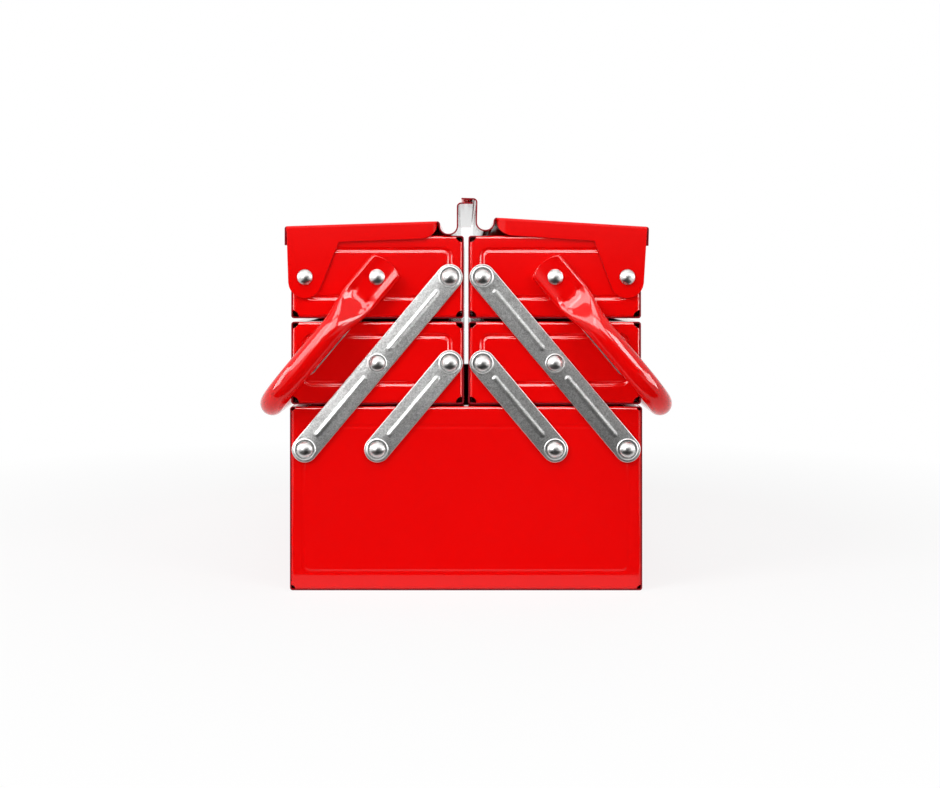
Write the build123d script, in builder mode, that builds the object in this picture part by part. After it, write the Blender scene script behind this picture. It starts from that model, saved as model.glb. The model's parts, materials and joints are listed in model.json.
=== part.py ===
from build123d import *
from math import cos, hypot, radians, sin, tan
import os

# A tool box with five compartments: a bottom box and, on each side, a mid tray and a
# top tray that swing out on parallel links. X runs across the box, +X to the right,
# Y along it with the front end at -Y, and Z up from the surface it stands on.

# Driving dimensions, in millimetres and degrees
length = 420.0  # over the outer faces of the end panels
width = 200.0  # over the long walls of the bottom box
box_height = 104.4
tray_height = 46.9
centre_gap = 2.6  # between the left and the right trays
tray_inset = 0.7  # from the box's long wall to the trays' long wall
box_seat_gap = 1.2  # from the box's rim to the closed mid trays
stack_gap = 1.9  # from a mid tray's rim to the closed top tray
column_inset = 8.0  # from a tray's long wall to its nearest column of rivets

sheet = 0.8  # thickness of every folded sheet
bend = 1.6  # outer radius of a folded edge
box_rim = 10.0  # flange along the top of the box's long walls
tray_rim = 9.0
end_flange = 10.0  # flange folded inward all round an end panel
wall_setback = 1.0  # how far a long wall stops behind the end panel's face
relief = 3.7  # radius cut from an end panel's corners, where its flanges meet

groove_width = 3.4  # stiffening groove pressed round an end panel
groove_depth = 1.0
groove_corner = 5.7
tray_groove_side = 6.2  # from the tray's sides, floor and rim to its groove
tray_groove_floor = 10.2
tray_groove_rim = 6.3
box_groove_side = 6.0
box_groove_floor = 9.0
box_groove_rim = 9.4

rivet_radius = 2.5
rivet_head_radius = 4.5
rivet_head_height = 2.3
rivet_play = 0.05  # radial, in whatever turns on a rivet
play = 0.1  # between parts that slide over each other
panel_gap = 0.3  # from an end panel to the links and lid ears that pass over it

link_width = 14.8
link_thickness = 1.5
rib_width = 2.9
rib_height = 0.9
rib_flank = 35.0  # lean of a rib's sides
rib_margin = 9.2  # from a rivet's centre to the end of a rib

tube = 14.0  # diameter of a handle's tube
flat_width = 20.1  # the tube's ends, pressed flat
flat_thickness = 2.8
flat_reach = 13.5  # from the rivet to where the flat starts to open into the tube
tongue_side = 8.3  # from the rivet to the corners of the flat's rounded end
tongue_tip = 10.8  # from the rivet to the tip of that end
shoulder_length = 25.0  # over which the flat opens into the round tube
handle_bend = 28.0
bar_stand_off = 4.5  # from the box's long wall to a hanging handle's bar
bar_drop = 72.8  # from the handle's rivets down to its bar
tube_gap = 0.5  # from the heads of the link rivets to the tube

lid_side_gap = 2.8  # from the tray's long wall to the lid's skirt
lid_skirt = 10.8
lid_rise_outer = 5.4  # top of the lid over the tray's rim, at the skirt
lid_rise_inner = 8.3  # and beside the ridge
lid_seat_gap = 0.3  # from the tray's rim to the groove of the closed lid
lid_groove = 9.4  # clear width of the groove beside the ridge
lid_groove_corner = 4.4
lid_corner = 2.0
ridge_setback = 4.5  # from the centre plane to a ridge wall
ridge_rise = 18.8  # top of the ridge's lip over the tray's rim
lip_reach = 3.9  # how far a lip passes the centre plane
ear_radius = 9.5  # of the ear's round end
ear_drop = 2.5  # from the hinge rivet down to the centre of that end
ear_flare = 1.0  # how much further out the ear reaches where it meets the top
ear_run = 19.2  # from the hinge rivet to where the ear meets the end strip
strip_depth = 3.6  # how far the end strip hangs below the tray's rim at the ear
strip_taper = 1.8  # how much less it hangs at the other end
strip_end = 16.3  # from the centre plane to the end of the strip
strip_round = 9.6
right_lid_lift = 1.6  # the right lid's lip lies over the left one's, so it stands this much open

FRONT, REAR = -1, 1
LEFT, RIGHT = -1, 1

# Values that follow
tray_width = (width - centre_gap) / 2 - tray_inset
tray_centre = (centre_gap + tray_width) / 2
column_pitch = tray_width / 2 - column_inset
inner_column = tray_centre - column_pitch
outer_column = tray_centre + column_pitch
row_pitch = tray_height + stack_gap
mid_floor = box_height + box_seat_gap
top_floor = mid_floor + row_pitch
mid_row = mid_floor + tray_height / 2
top_row = mid_row + row_pitch
box_row = mid_row - row_pitch
link_pitch = hypot(column_pitch, row_pitch)

link_top = panel_gap + link_thickness  # heights over an end panel's outer face
ear_top = panel_gap + sheet
flat_base = link_top + play
tube_axis = link_top + play + rivet_head_height + tube_gap + tube / 2
bar_run = width / 2 + bar_stand_off + tube / 2 - tray_centre
handle_reach = hypot(bar_run, bar_drop)
tube_start = flat_reach + shoulder_length
hinge_height = tray_height / 2  # from the lid's hinge up to the tray's rim


def end_face(facing):
    """The outer face of the end panels: x runs along -facing X, y up and z outward."""
    return Plane(origin=(0, facing * length / 2, 0), x_dir=(-facing, 0, 0), z_dir=(0, facing, 0))


def folded_wall(label, centre, floor, wide, high, rim):
    """The floor and long walls of the box or of a tray, folded from one sheet."""
    with BuildPart() as wall:
        with BuildSketch(Plane.XZ):
            with Locations((centre, floor + high / 2)):
                RectangleRounded(wide, high, bend)
                RectangleRounded(wide - 2 * sheet, high - 2 * sheet, bend - sheet, mode=Mode.SUBTRACT)
            with Locations((centre, floor + high)):
                Rectangle(wide - 2 * rim, 2 * bend, mode=Mode.SUBTRACT)
        extrude(amount=length / 2 - wall_setback, both=True)
    wall.part.label = label
    export_step(wall.part, f"parts/{label}.step")


def groove_outline(centre, wide, high, corner, groove):
    """The frame-shaped track of a pressed groove, as a sketch on the plane in use."""
    with Locations(centre):
        RectangleRounded(wide, high, corner)
        RectangleRounded(wide - 2 * groove, high - 2 * groove, corner - groove, mode=Mode.SUBTRACT)


def end_panel(label, facing, centre, floor, wide, high, rim, columns, row, margins):
    """An end panel pressed as a shallow pan, with flanges all round and a groove in its face."""
    face = end_face(facing)
    outward = Axis(face.origin, face.z_dir)
    middle_x = -facing * centre
    panel_wide = wide - 2 * sheet
    panel_high = high - sheet
    middle = (middle_x, floor + sheet + panel_high / 2)
    side_margin, floor_margin, rim_margin = margins
    groove_wide = wide - 2 * side_margin
    groove_high = high - floor_margin - rim_margin
    groove_middle = (middle_x, floor + floor_margin + groove_high / 2)
    back_spread = sheet * tan(radians(22.5))
    with BuildPart() as panel:
        with BuildSketch(face):
            with Locations(middle):
                Rectangle(panel_wide, panel_high)
        extrude(amount=-end_flange)
        fillet(panel.faces().sort_by(outward)[-1].edges(), bend)
        offset(amount=-sheet, openings=panel.faces().sort_by(outward)[0])
        with BuildSketch(face):
            with Locations(middle):
                with GridLocations(panel_wide, panel_high, 2, 2):
                    Circle(relief)
        extrude(amount=-end_flange, mode=Mode.SUBTRACT)
        with BuildSketch(face.offset(play - wall_setback)):
            with Locations((middle_x, floor + high)):
                with GridLocations(wide - rim, 0, 2, 1):
                    Rectangle(rim + 2 * play, 2 * sheet)
        extrude(amount=-end_flange, mode=Mode.SUBTRACT)
        with BuildSketch(face.offset(-sheet)):
            groove_outline(
                groove_middle,
                groove_wide + 2 * back_spread,
                groove_high + 2 * back_spread,
                groove_corner + back_spread,
                groove_width + 2 * back_spread,
            )
        extrude(amount=-groove_depth, taper=45)
        with BuildSketch(face):
            groove_outline(groove_middle, groove_wide, groove_high, groove_corner, groove_width)
        extrude(amount=-groove_depth, taper=45, mode=Mode.SUBTRACT)
        with BuildSketch(face):
            with Locations([(-facing * column, row) for column in columns]):
                Circle(rivet_radius)
        extrude(amount=-end_flange, mode=Mode.SUBTRACT)
    panel.part.label = label
    export_step(panel.part, f"parts/{label}.step")


def rivets(label, columns, row, grip):
    """Dome-headed rivets through both end panels; grip is the thickness that they hold."""
    head_base = panel_gap + grip + play
    head_top = head_base + rivet_head_height
    with BuildPart() as group:
        for facing in (FRONT, REAR):
            for column in columns:
                seat = Vector(column, facing * length / 2, row)
                with BuildSketch(Plane(origin=seat, x_dir=(1, 0, 0), z_dir=(0, 0, facing))):
                    with BuildLine():
                        Polyline(
                            (0, head_top),
                            (0, -sheet),
                            (rivet_radius, -sheet),
                            (rivet_radius, head_base),
                            (rivet_head_radius, head_base),
                        )
                        TangentArc((0, head_top), (rivet_head_radius, head_base), tangent=(1, 0))
                    make_face()
                revolve(axis=Axis(seat, (0, facing, 0)))
    group.part.label = label
    export_step(group.part, f"parts/{label}.step")


def link(label, facing, side, column, row, pivots):
    """A flat link from its lowest pivot up and inward, with a pressed rib between pivots."""
    reach = (pivots - 1) * link_pitch
    face = Plane(
        origin=(side * column, facing * (length / 2 + panel_gap), row),
        x_dir=(-side * column_pitch, 0, row_pitch),
        z_dir=(0, facing, 0),
    )
    with BuildPart() as bar:
        with BuildSketch(face):
            with Locations((reach / 2, 0)):
                SlotCenterToCenter(reach, link_width)
            with Locations([(n * link_pitch, 0) for n in range(pivots)]):
                Circle(rivet_radius + rivet_play, mode=Mode.SUBTRACT)
        extrude(amount=link_thickness)
        with BuildSketch(face.offset(link_thickness)):
            with Locations([((n + 0.5) * link_pitch, 0) for n in range(pivots - 1)]):
                SlotOverall(link_pitch - 2 * rib_margin, rib_width)
        extrude(amount=rib_height, taper=rib_flank)
    bar.part.label = label
    export_step(bar.part, f"parts/{label}.step")


def tie_link(label, facing, side):
    """The plain link behind a handle's end, which keeps the top tray level."""
    face = Plane(
        origin=(side * outer_column, facing * (length / 2 + panel_gap), mid_row),
        x_dir=(-side * column_pitch, 0, row_pitch),
        z_dir=(0, facing, 0),
    )
    with BuildPart() as bar:
        with BuildSketch(face):
            with Locations((link_pitch / 2, 0)):
                SlotCenterToCenter(link_pitch, link_width)
            with Locations((0, 0), (link_pitch, 0)):
                Circle(rivet_radius + rivet_play, mode=Mode.SUBTRACT)
        extrude(amount=link_thickness)
    bar.part.label = label
    export_step(bar.part, f"parts/{label}.step")


def handle(label, side):
    """A bail bent from tube, with its ends pressed flat and drilled for the handle rivets."""
    arm = Vector(side * bar_run, 0, -bar_drop).normalized()
    hinge = (side * tray_centre, 0, top_row)
    tube_side = length / 2 + tube_axis
    with BuildPart() as bail:
        with BuildLine(Plane(origin=hinge, x_dir=arm, z_dir=arm.cross(Vector(0, 1, 0)))) as track:
            FilletPolyline(
                (tube_start, -tube_side),
                (handle_reach, -tube_side),
                (handle_reach, tube_side),
                (tube_start, tube_side),
                radius=handle_bend,
            )
        with BuildSketch(Plane(origin=track.line @ 0, z_dir=track.line % 0)):
            Circle(tube / 2)
        sweep()
        for facing in (FRONT, REAR):
            flat = Plane(
                origin=(side * tray_centre, facing * (length / 2 + flat_base), top_row),
                x_dir=arm,
                z_dir=(0, facing, 0),
            )
            with BuildSketch(flat):
                with BuildLine():
                    Polyline(
                        (-tongue_side, flat_width / 2),
                        (flat_reach, flat_width / 2),
                        (flat_reach, -flat_width / 2),
                        (-tongue_side, -flat_width / 2),
                    )
                    ThreePointArc(
                        (-tongue_side, -flat_width / 2),
                        (-tongue_tip, 0),
                        (-tongue_side, flat_width / 2),
                    )
                make_face()
                Circle(rivet_radius + rivet_play, mode=Mode.SUBTRACT)
            extrude(amount=flat_thickness)
            flat_end = flat.from_local_coords((flat_reach, 0, flat_thickness / 2))
            tube_end = flat.from_local_coords((tube_start, 0, tube_axis - flat_base))
            with BuildSketch(Plane(origin=flat_end, x_dir=flat.y_dir, z_dir=arm)):
                Rectangle(flat_width, flat_thickness)
            with BuildSketch(Plane(origin=tube_end, x_dir=flat.y_dir, z_dir=arm)):
                with BuildLine():
                    for quarter in range(4):
                        CenterArc((0, 0), tube / 2, 45 + 90 * quarter, 90)
                make_face()
            loft()
    bail.part.label = label
    export_step(bail.part, f"parts/{label}.step")


def lid(label, side, lift):
    """A lid folded from one sheet: skirt, top, groove and ridge, with ears at both ends."""
    hinge = Plane(
        origin=(side * outer_column, 0, top_row),
        x_dir=(-side * cos(radians(lift)), 0, sin(radians(lift))),
        z_dir=(0, side, 0),
    )
    skirt_side = -(column_inset + lid_side_gap + sheet)
    ear_side = -(ear_radius + ear_flare)
    top_outer = hinge_height + lid_rise_outer
    top_inner = hinge_height + lid_rise_inner
    ridge_side = outer_column - ridge_setback - sheet
    groove_side = ridge_side - lid_groove
    groove_bottom = hinge_height + lid_seat_gap + sheet
    lip_top = hinge_height + ridge_rise
    strip_low = hinge_height - strip_depth
    strip_far = outer_column - strip_end
    strip_far_low = strip_low + strip_taper
    top_slope = (top_inner - top_outer) / (groove_side - skirt_side)
    strip_top = top_outer + top_slope * (strip_far - skirt_side)
    ear_top_outer = top_outer + top_slope * (ear_side - skirt_side)
    ear_top_inner = top_outer + top_slope * (ear_run - skirt_side)
    with BuildPart() as cover:
        with BuildSketch(hinge):
            with BuildLine():
                FilletPolyline(
                    (skirt_side, top_outer - lid_skirt),
                    (skirt_side, top_outer),
                    (groove_side, top_inner),
                    (groove_side, groove_bottom),
                    (ridge_side, groove_bottom),
                    (ridge_side, lip_top),
                    (outer_column + lip_reach, lip_top),
                    radius=(bend, lid_corner, lid_groove_corner, lid_groove_corner, lid_corner),
                )
                offset(amount=sheet, side=Side.RIGHT)
            make_face()
        extrude(amount=length / 2 + ear_top, both=True)
        for end in (FRONT, REAR):
            inner_face = hinge.offset(end * (length / 2 + panel_gap))
            with BuildSketch(inner_face):
                with Locations((0, -ear_drop)):
                    Circle(ear_radius)
                with BuildLine():
                    Polyline(
                        (ear_side, ear_top_outer - sheet / 2),
                        (ear_run, ear_top_inner - sheet / 2),
                        (ear_run, strip_low),
                        (ear_side, ear_top_outer - sheet / 2),
                    )
                make_face()
                make_hull()
                with BuildLine():
                    Polyline(
                        (strip_far - strip_round, strip_far_low),
                        (ear_run - sheet, strip_low),
                        (skirt_side + bend, top_outer - sheet / 2),
                        (strip_far, strip_top - sheet / 2),
                    )
                    TangentArc(
                        (strip_far - strip_round, strip_far_low),
                        (strip_far, strip_top - sheet / 2),
                        tangent=(1, 0),
                    )
                make_face()
                Circle(rivet_radius + rivet_play, mode=Mode.SUBTRACT)
            extrude(amount=end * sheet)
    cover.part.label = label
    export_step(cover.part, f"parts/{label}.step")


os.makedirs("parts", exist_ok=True)

# Bottom box
folded_wall("box_wall", 0, 0, width, box_height, box_rim)
box_columns = [-outer_column, -tray_centre, tray_centre, outer_column]
box_margins = (box_groove_side, box_groove_floor, box_groove_rim)
tray_margins = (tray_groove_side, tray_groove_floor, tray_groove_rim)
for facing, end in ((FRONT, "front"), (REAR, "rear")):
    end_panel(
        f"box_end_{end}", facing, 0, 0, width, box_height, box_rim, box_columns, box_row, box_margins
    )
rivets("box_rivets", box_columns, box_row, link_thickness)

# Trays, links, lids and handles, the same on both sides
tray_columns = (inner_column, tray_centre, outer_column)
for side, name in ((LEFT, "left"), (RIGHT, "right")):
    centre = side * tray_centre
    columns = [side * column for column in tray_columns]
    for tray, floor, row in (("mid", mid_floor, mid_row), ("top", top_floor, top_row)):
        folded_wall(f"{name}_{tray}_tray", centre, floor, tray_width, tray_height, tray_rim)
        for facing, end in ((FRONT, "front"), (REAR, "rear")):
            end_panel(
                f"{name}_{tray}_tray_end_{end}",
                facing,
                centre,
                floor,
                tray_width,
                tray_height,
                tray_rim,
                columns,
                row,
                tray_margins,
            )
    rivets(f"{name}_mid_tray_rivets", columns, mid_row, link_thickness)
    rivets(f"{name}_top_tray_rivets", columns[:1], top_row, link_thickness)
    rivets(f"{name}_handle_rivets", columns[1:2], top_row, link_thickness + play + flat_thickness)
    rivets(f"{name}_lid_rivets", columns[2:], top_row, sheet)
    for facing, end in ((FRONT, "front"), (REAR, "rear")):
        link(f"{name}_long_link_{end}", facing, side, outer_column, box_row, 3)
        link(f"{name}_short_link_{end}", facing, side, tray_centre, box_row, 2)
        tie_link(f"{name}_tie_link_{end}", facing, side)
    handle(f"{name}_handle", side)
lid("left_lid", LEFT, 0)
lid("right_lid", RIGHT, right_lid_lift)
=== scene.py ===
# %% [markdown]
# A cantilever tool box of red sheet steel. Five compartments hang together on flat links:
# a bottom box, and two trays on each side that swing out over the bench when the handles
# are pulled apart. The solids come from the CAD model and stay where they are; each cell
# below dresses one kind of part with the folds, presses and finishes of the real thing.

# %% Load the solids
import json
import math

import bmesh
import bpy
from mathutils import Matrix, Vector


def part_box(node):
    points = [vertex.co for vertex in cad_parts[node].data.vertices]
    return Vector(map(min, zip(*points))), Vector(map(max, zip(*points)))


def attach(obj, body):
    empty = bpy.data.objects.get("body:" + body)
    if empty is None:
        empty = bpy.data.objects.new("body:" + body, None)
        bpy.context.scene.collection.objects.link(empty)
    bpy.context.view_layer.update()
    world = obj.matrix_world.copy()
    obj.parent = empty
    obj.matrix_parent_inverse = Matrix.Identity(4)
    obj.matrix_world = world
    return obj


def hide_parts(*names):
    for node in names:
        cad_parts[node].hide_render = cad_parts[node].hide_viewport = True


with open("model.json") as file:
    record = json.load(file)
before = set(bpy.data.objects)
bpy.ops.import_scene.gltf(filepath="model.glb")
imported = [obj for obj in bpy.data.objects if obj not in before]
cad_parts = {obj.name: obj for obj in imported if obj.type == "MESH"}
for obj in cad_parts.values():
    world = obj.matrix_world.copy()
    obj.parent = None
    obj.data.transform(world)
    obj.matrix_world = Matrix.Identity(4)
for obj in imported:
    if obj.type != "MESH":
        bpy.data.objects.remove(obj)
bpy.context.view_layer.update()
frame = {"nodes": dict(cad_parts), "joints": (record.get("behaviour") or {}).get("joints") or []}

MM = 0.001
pivots = {joint["name"]: Vector(joint["pos_m"]) for joint in frame["joints"]}
print("solids:", len(frame["nodes"]), "pivots:", len(pivots))

# %% [markdown]
# Everything on the box is placed by its rivets, so the first thing to read from the frame
# is the grid that they stand on: three columns out from the centre, and one row for each
# level. The sheet's own numbers are those of a press shop: 0.8 mm steel, folded round a
# bar that leaves an outer radius of 1.6 mm.

# %% Rows, columns and the sheet
outer_column = pivots["right_cantilever"].x
middle_column = pivots["right_mid_tray_pivot"].x
inner_column = pivots["right_top_tray_pivot"].x
box_row = pivots["right_cantilever"].z
mid_row = pivots["right_mid_tray_pivot"].z
top_row = pivots["right_top_tray_pivot"].z
end_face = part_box("box_end_rear")[1].y
sheet = 0.8 * MM
bend = 1.6 * MM
tray_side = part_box("right_top_tray")[1].x - outer_column
rim_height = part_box("right_top_tray")[1].z - top_row
SIDES = (("left", -1), ("right", 1))
FACINGS = (-1, 1)
print("columns, mm:", [round(c / MM, 2) for c in (inner_column, middle_column, outer_column)])
print("rows, mm:", [round(r / MM, 2) for r in (box_row, mid_row, top_row)])

# %% [markdown]
# The camera looks square at the front end, a little above the middle of the trays and
# about 0.86 m away. The lens is shifted down instead of tilted, because the upright
# edges of the box stay upright in the picture.

# %% Camera
scene = bpy.context.scene
scene.view_settings.view_transform = "Standard"
eye_side, eye_distance, eye_height = 0.5 * MM, 857 * MM, 179 * MM
camera_data = bpy.data.cameras.new("end_view")
camera = bpy.data.objects.new("end_view", camera_data)
scene.collection.objects.link(camera)
scene.camera = camera
camera.location = (eye_side, -end_face - eye_distance, eye_height)
camera.rotation_euler = (math.radians(90), 0, 0)
camera_data.sensor_width = 36
camera_data.lens = 57.9
camera_data.shift_x = 0.0032
camera_data.shift_y = -0.1266
camera_data.clip_start = 10 * MM
print("camera, mm:", [round(place / MM, 1) for place in camera.location])

# %% [markdown]
# Every finish and every repeated part below is a node tree. A tree can be drawn by hand in
# the editor, but a script can be read and run again, so one short helper makes a node,
# fills its sockets and wires what is already a socket.

# %% One node
def add(tree, kind, sockets=None, **settings):
    """One node in the tree: settings are its properties, sockets its inputs by name or number."""
    node = tree.nodes.new(kind)
    for setting, value in settings.items():
        setattr(node, setting, value)
    for socket, value in (sockets or {}).items():
        if isinstance(value, Field):
            value = value.socket
        if isinstance(value, bpy.types.NodeSocket):
            tree.links.new(value, node.inputs[socket])
        else:
            node.inputs[socket].default_value = value
    return node


print("one call makes and wires a node")

# %% [markdown]
# Most shapes here come from a formula, and a formula that is wired node by node is hard to
# read. `Field` wraps a socket, so that it is written with Python's own signs and still
# ends up as Math nodes, where each step can be looked at in the editor.

# %% Fields
def worked_out(tree, operation, *inputs):
    """What one Math node makes of numbers and fields."""
    node = add(tree, "ShaderNodeMath", dict(enumerate(inputs)), operation=operation)
    return Field(tree, node.outputs[0])


class Field:
    """A number that a node tree works out, written with Python's signs."""

    def __init__(self, tree, socket):
        self.tree, self.socket = tree, socket

    def math(self, operation, *others):
        """What a Math node makes of this number and the others."""
        return worked_out(self.tree, operation, self, *others)

    def __add__(self, other):
        return self.math("ADD", other)

    __radd__ = __add__

    def __mul__(self, other):
        return self.math("MULTIPLY", other)

    __rmul__ = __mul__

    def __sub__(self, other):
        return self.math("SUBTRACT", other)

    def __rsub__(self, other):
        return worked_out(self.tree, "SUBTRACT", other, self)

    def __truediv__(self, other):
        return self.math("DIVIDE", other)

    def __neg__(self):
        return self * -1

    def at_least(self, other):
        """This number, or the other where that is larger."""
        return self.math("MAXIMUM", other)

    def at_most(self, other):
        """This number, or the other where that is smaller."""
        return self.math("MINIMUM", other)


methods = [name for name, value in vars(Field).items() if callable(value)]
print("a field's methods:", len(methods))

# %% [markdown]
# A finish is a colour, a roughness and a very fine relief. Pictures of paint could give all
# three, but noise in the object's own coordinates has no seams, no resolution and needs
# no unwrapping, so each finish below is a few noises of different size.

# %% What every finish needs
def new_material(name):
    """An empty node material with its output, its shader and the object's own coordinates."""
    material = bpy.data.materials.new(name)
    material.use_nodes = True
    tree = material.node_tree
    tree.nodes.clear()
    shader = add(tree, "ShaderNodeBsdfPrincipled")
    output = add(tree, "ShaderNodeOutputMaterial")
    tree.links.new(shader.outputs[0], output.inputs["Surface"])
    place = add(tree, "ShaderNodeTexCoord").outputs["Object"]
    return material, tree, shader, place


def noise(tree, place, scale, detail=2.0, roughness=0.5):
    """Noise between 0 and 1; scale is in ripples a metre."""
    sockets = {"Vector": place, "Scale": scale, "Detail": detail, "Roughness": roughness}
    return Field(tree, add(tree, "ShaderNodeTexNoise", sockets).outputs["Fac"])


def blend_colours(tree, factor, low, high):
    """The colour between two tones, low where the factor is 0."""
    sockets = {"Factor": factor, 6: (*low, 1), 7: (*high, 1)}
    return add(tree, "ShaderNodeMix", sockets, data_type="RGBA").outputs[2]


def wire_finish(tree, shader, colour, roughness, relief):
    """Wires a finish to its shader; relief is the height, strength and distance of its bump."""
    bump = add(tree, "ShaderNodeBump", dict(zip(("Height", "Strength", "Distance"), relief)))
    tree.links.new(colour, shader.inputs["Base Color"])
    tree.links.new(roughness.socket, shader.inputs["Roughness"])
    tree.links.new(bump.outputs[0], shader.inputs["Normal"])


print("finishes are wired by one helper")

# %% [markdown]
# Red stoving enamel is a thick, glossy coat that levels itself almost flat. Close up it
# keeps a faint ripple, known as orange peel. One flat red would look like plastic, so the colour
# drifts by a few percent, the gloss varies, and a very shallow bump carries the ripple.
# The cut edges get a darker, duller coat of the same kind. This is painted shade: it makes
# the thin edges of the sheet look as if they lay in shadow.

# %% Red enamel
def enamel_coat(name, low, high, gloss):
    """A coat of enamel between two tones of red; gloss is its lowest roughness."""
    material, tree, shader, place = new_material(name)
    drift = noise(tree, place, 14, 4)
    ripple = noise(tree, place, 90, 3)
    grain = noise(tree, place, 700, 2)
    grime = noise(tree, place, 60, 6, 0.7)
    colour = blend_colours(tree, drift, low, high)
    wire_finish(tree, shader, colour, gloss + grime * 0.05, (ripple + grain * 0.12, 0.35, 0.1 * MM))
    shader.inputs["IOR"].default_value = 1.5
    shader.inputs["Specular IOR Level"].default_value = 0.3
    print(f"{name}: {len(tree.nodes)} nodes")
    return material


enamel = enamel_coat("red_enamel", (0.76, 0.0010, 0.0010), (0.84, 0.0018, 0.0018), 0.045)
# painted shade: this darker coat on the cut edges stands in for the shadow along them
edge_shade_enamel = enamel_coat("enamel_on_cut_edges", (0.16, 0.003, 0.010), (0.34, 0.005, 0.014), 0.30)

# %% [markdown]
# The links are zinc plated: a dull silver with a fine speckle of crystals. Their rings and
# edges are painted lighter, a painted highlight for the bright lines along them. It is rougher
# than chrome, so it takes its tone from whole walls of light instead of mirroring them.
# The rivets are nickel plated, softly polished under a thin haze.

# %% Zinc plating and rivet plating
def zinc_coat(name):
    """Speckled zinc, painted lighter as a highlight on faces that carry the burnish attribute."""
    material, tree, shader, place = new_material(name)
    speckle = noise(tree, place, 1500, 3, 0.75)
    flake = noise(tree, place, 520, 2)
    cloud = noise(tree, place, 45, 3)
    # painted highlight: marked faces are painted much lighter, for the light lines on edges and rings
    painted_light_share = Field(tree, add(tree, "ShaderNodeAttribute", attribute_name="burnish").outputs["Fac"])
    tone = (speckle - 0.5) * 2.2 + (flake - 0.5) * 0.6 + (cloud - 0.5) * 0.6 + 0.52 + painted_light_share * 0.8
    colour = blend_colours(tree, tone.at_least(0.0).at_most(1.0), (0.32, 0.32, 0.315), (0.9, 0.9, 0.89))
    roughness = 0.25 + speckle * 0.14
    relief = (cloud * 6.0 + speckle + flake, 0.7, 0.1 * MM)
    wire_finish(tree, shader, colour, roughness, relief)
    shader.inputs["Metallic"].default_value = 1
    print(f"{name}: {len(tree.nodes)} nodes")
    return material


def nickel_coat(name):
    """Softly polished nickel."""
    material, tree, shader, place = new_material(name)
    haze = noise(tree, place, 900, 4, 0.6)
    colour = blend_colours(tree, haze, (0.54, 0.535, 0.525), (0.74, 0.735, 0.725))
    wire_finish(tree, shader, colour, 0.24 + haze * 0.12, (haze, 0.25, 0.05 * MM))
    shader.inputs["Metallic"].default_value = 1
    print(f"{name}: {len(tree.nodes)} nodes")
    return material


zinc = zinc_coat("zinc_plating")
nickel = nickel_coat("rivet_plating")

# %% [markdown]
# Folded steel has flats and round bends and nothing else. A bevel on a finished box could
# round its folds, but not each one by its own radius. So an outline is given by its sharp
# corners and a radius for each, and the arcs between them are worked out.

# %% Rounded outlines
def rounded(corners, radii, steps=6):
    """The closed outline through flat corners, each rounded by an arc of its own radius."""
    outline = []
    for number, (corner, radius) in enumerate(zip(corners, radii)):
        here = Vector(corner)
        if radius == 0:
            outline.append(here)
            continue
        before = (Vector(corners[number - 1]) - here).normalized()
        after = (Vector(corners[(number + 1) % len(corners)]) - here).normalized()
        half = before.angle(after) / 2
        centre = here + (before + after).normalized() * radius / math.sin(half)
        spoke = here + before * radius / math.tan(half) - centre
        turn = math.copysign(math.pi - 2 * half, -before.cross(after))
        for step in range(steps + 1):
            outline.append(centre + Matrix.Rotation(turn * step / steps, 2) @ spoke)
    return outline


print("a quarter circle of 1 mm has", len(rounded([(0, 0), (9, 0), (9, 9)], (0, 1, 0))) - 2, "points")

# %% [markdown]
# A part is done when nothing about it is left to work out. Its modifiers are turned into
# plain mesh, it is tied to the body that carries it, the solids that it stands for are
# hidden, and it is listed under its finish. One helper does this for all parts, so none can be forgotten.

# %% Dressing a part
finished = {"red_enamel": [], "zinc_plating": [], "rivet_plating": []}


def dress(obj, body, stands_for, slot):
    """Makes the piece plain mesh, ties it to its body, hides its solids and lists it under their finish."""
    depsgraph = bpy.context.evaluated_depsgraph_get()
    plain = bpy.data.meshes.new_from_object(obj.evaluated_get(depsgraph))
    obj.modifiers.clear()
    obj.data = plain
    plain.name = obj.name
    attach(obj, body)
    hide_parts(*stands_for)
    finished[slot].append(obj)
    print(f"{obj.name}: {len(plain.polygons)} faces on {body}")
    return obj


print("finishes to give:", list(finished))

# %% [markdown]
# Sheet parts are drawn as a thin skin, the outer face of the steel, and Solidify then
# gives it 0.8 mm of thickness inward, just as a drawing for folding gives outside sizes.
# Drawing both faces by hand would be twice the work, and the thickness could drift. A tiny
# bevel breaks the sheared edges, because a perfectly sharp edge never catches light.

# %% Skins and sheets
def sheet_piece(name, skin):
    """An object from a skin, with the sheet's thickness inward and its edges broken."""
    mesh = bpy.data.meshes.new(name)
    skin.to_mesh(mesh)
    skin.free()
    mesh.shade_smooth()
    mesh.materials.append(enamel)
    mesh.materials.append(edge_shade_enamel)
    obj = bpy.data.objects.new(name, mesh)
    scene.collection.objects.link(obj)
    wall = obj.modifiers.new("thickness", "SOLIDIFY")
    wall.thickness, wall.offset, wall.use_even_offset = sheet, -1, True
    # the cut edges take the second coat, which is painted shade
    wall.material_offset_rim = 1
    edge = obj.modifiers.new("broken edges", "BEVEL")
    edge.width, edge.segments, edge.limit_method = 0.16 * MM, 2, "ANGLE"
    edge.angle_limit, edge.use_clamp_overlap = math.radians(50), False
    shade = obj.modifiers.new("even shading", "WEIGHTED_NORMAL")
    shade.keep_sharp = True
    return obj


def strip(skin, rows):
    """Quads between rows of points; rows run outward-facing from left to right."""
    made = [[skin.verts.new(point) for point in row] for row in rows]
    for upper, lower in zip(made, made[1:]):
        for a, b, c, d in zip(upper, upper[1:], lower[1:], lower):
            skin.faces.new((a, b, c, d))
    return made


print("sheet, mm:", round(sheet / MM, 2), "outer bend, mm:", round(bend / MM, 2))

# %% [markdown]
# The bottom box and each tray are one long sheet folded four times: rim, wall, floor,
# wall, rim. A cube without its top would look alike from afar, but it has no rims and no
# bends to catch a light line. One outline pushed along the box makes the fold exactly.

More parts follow.
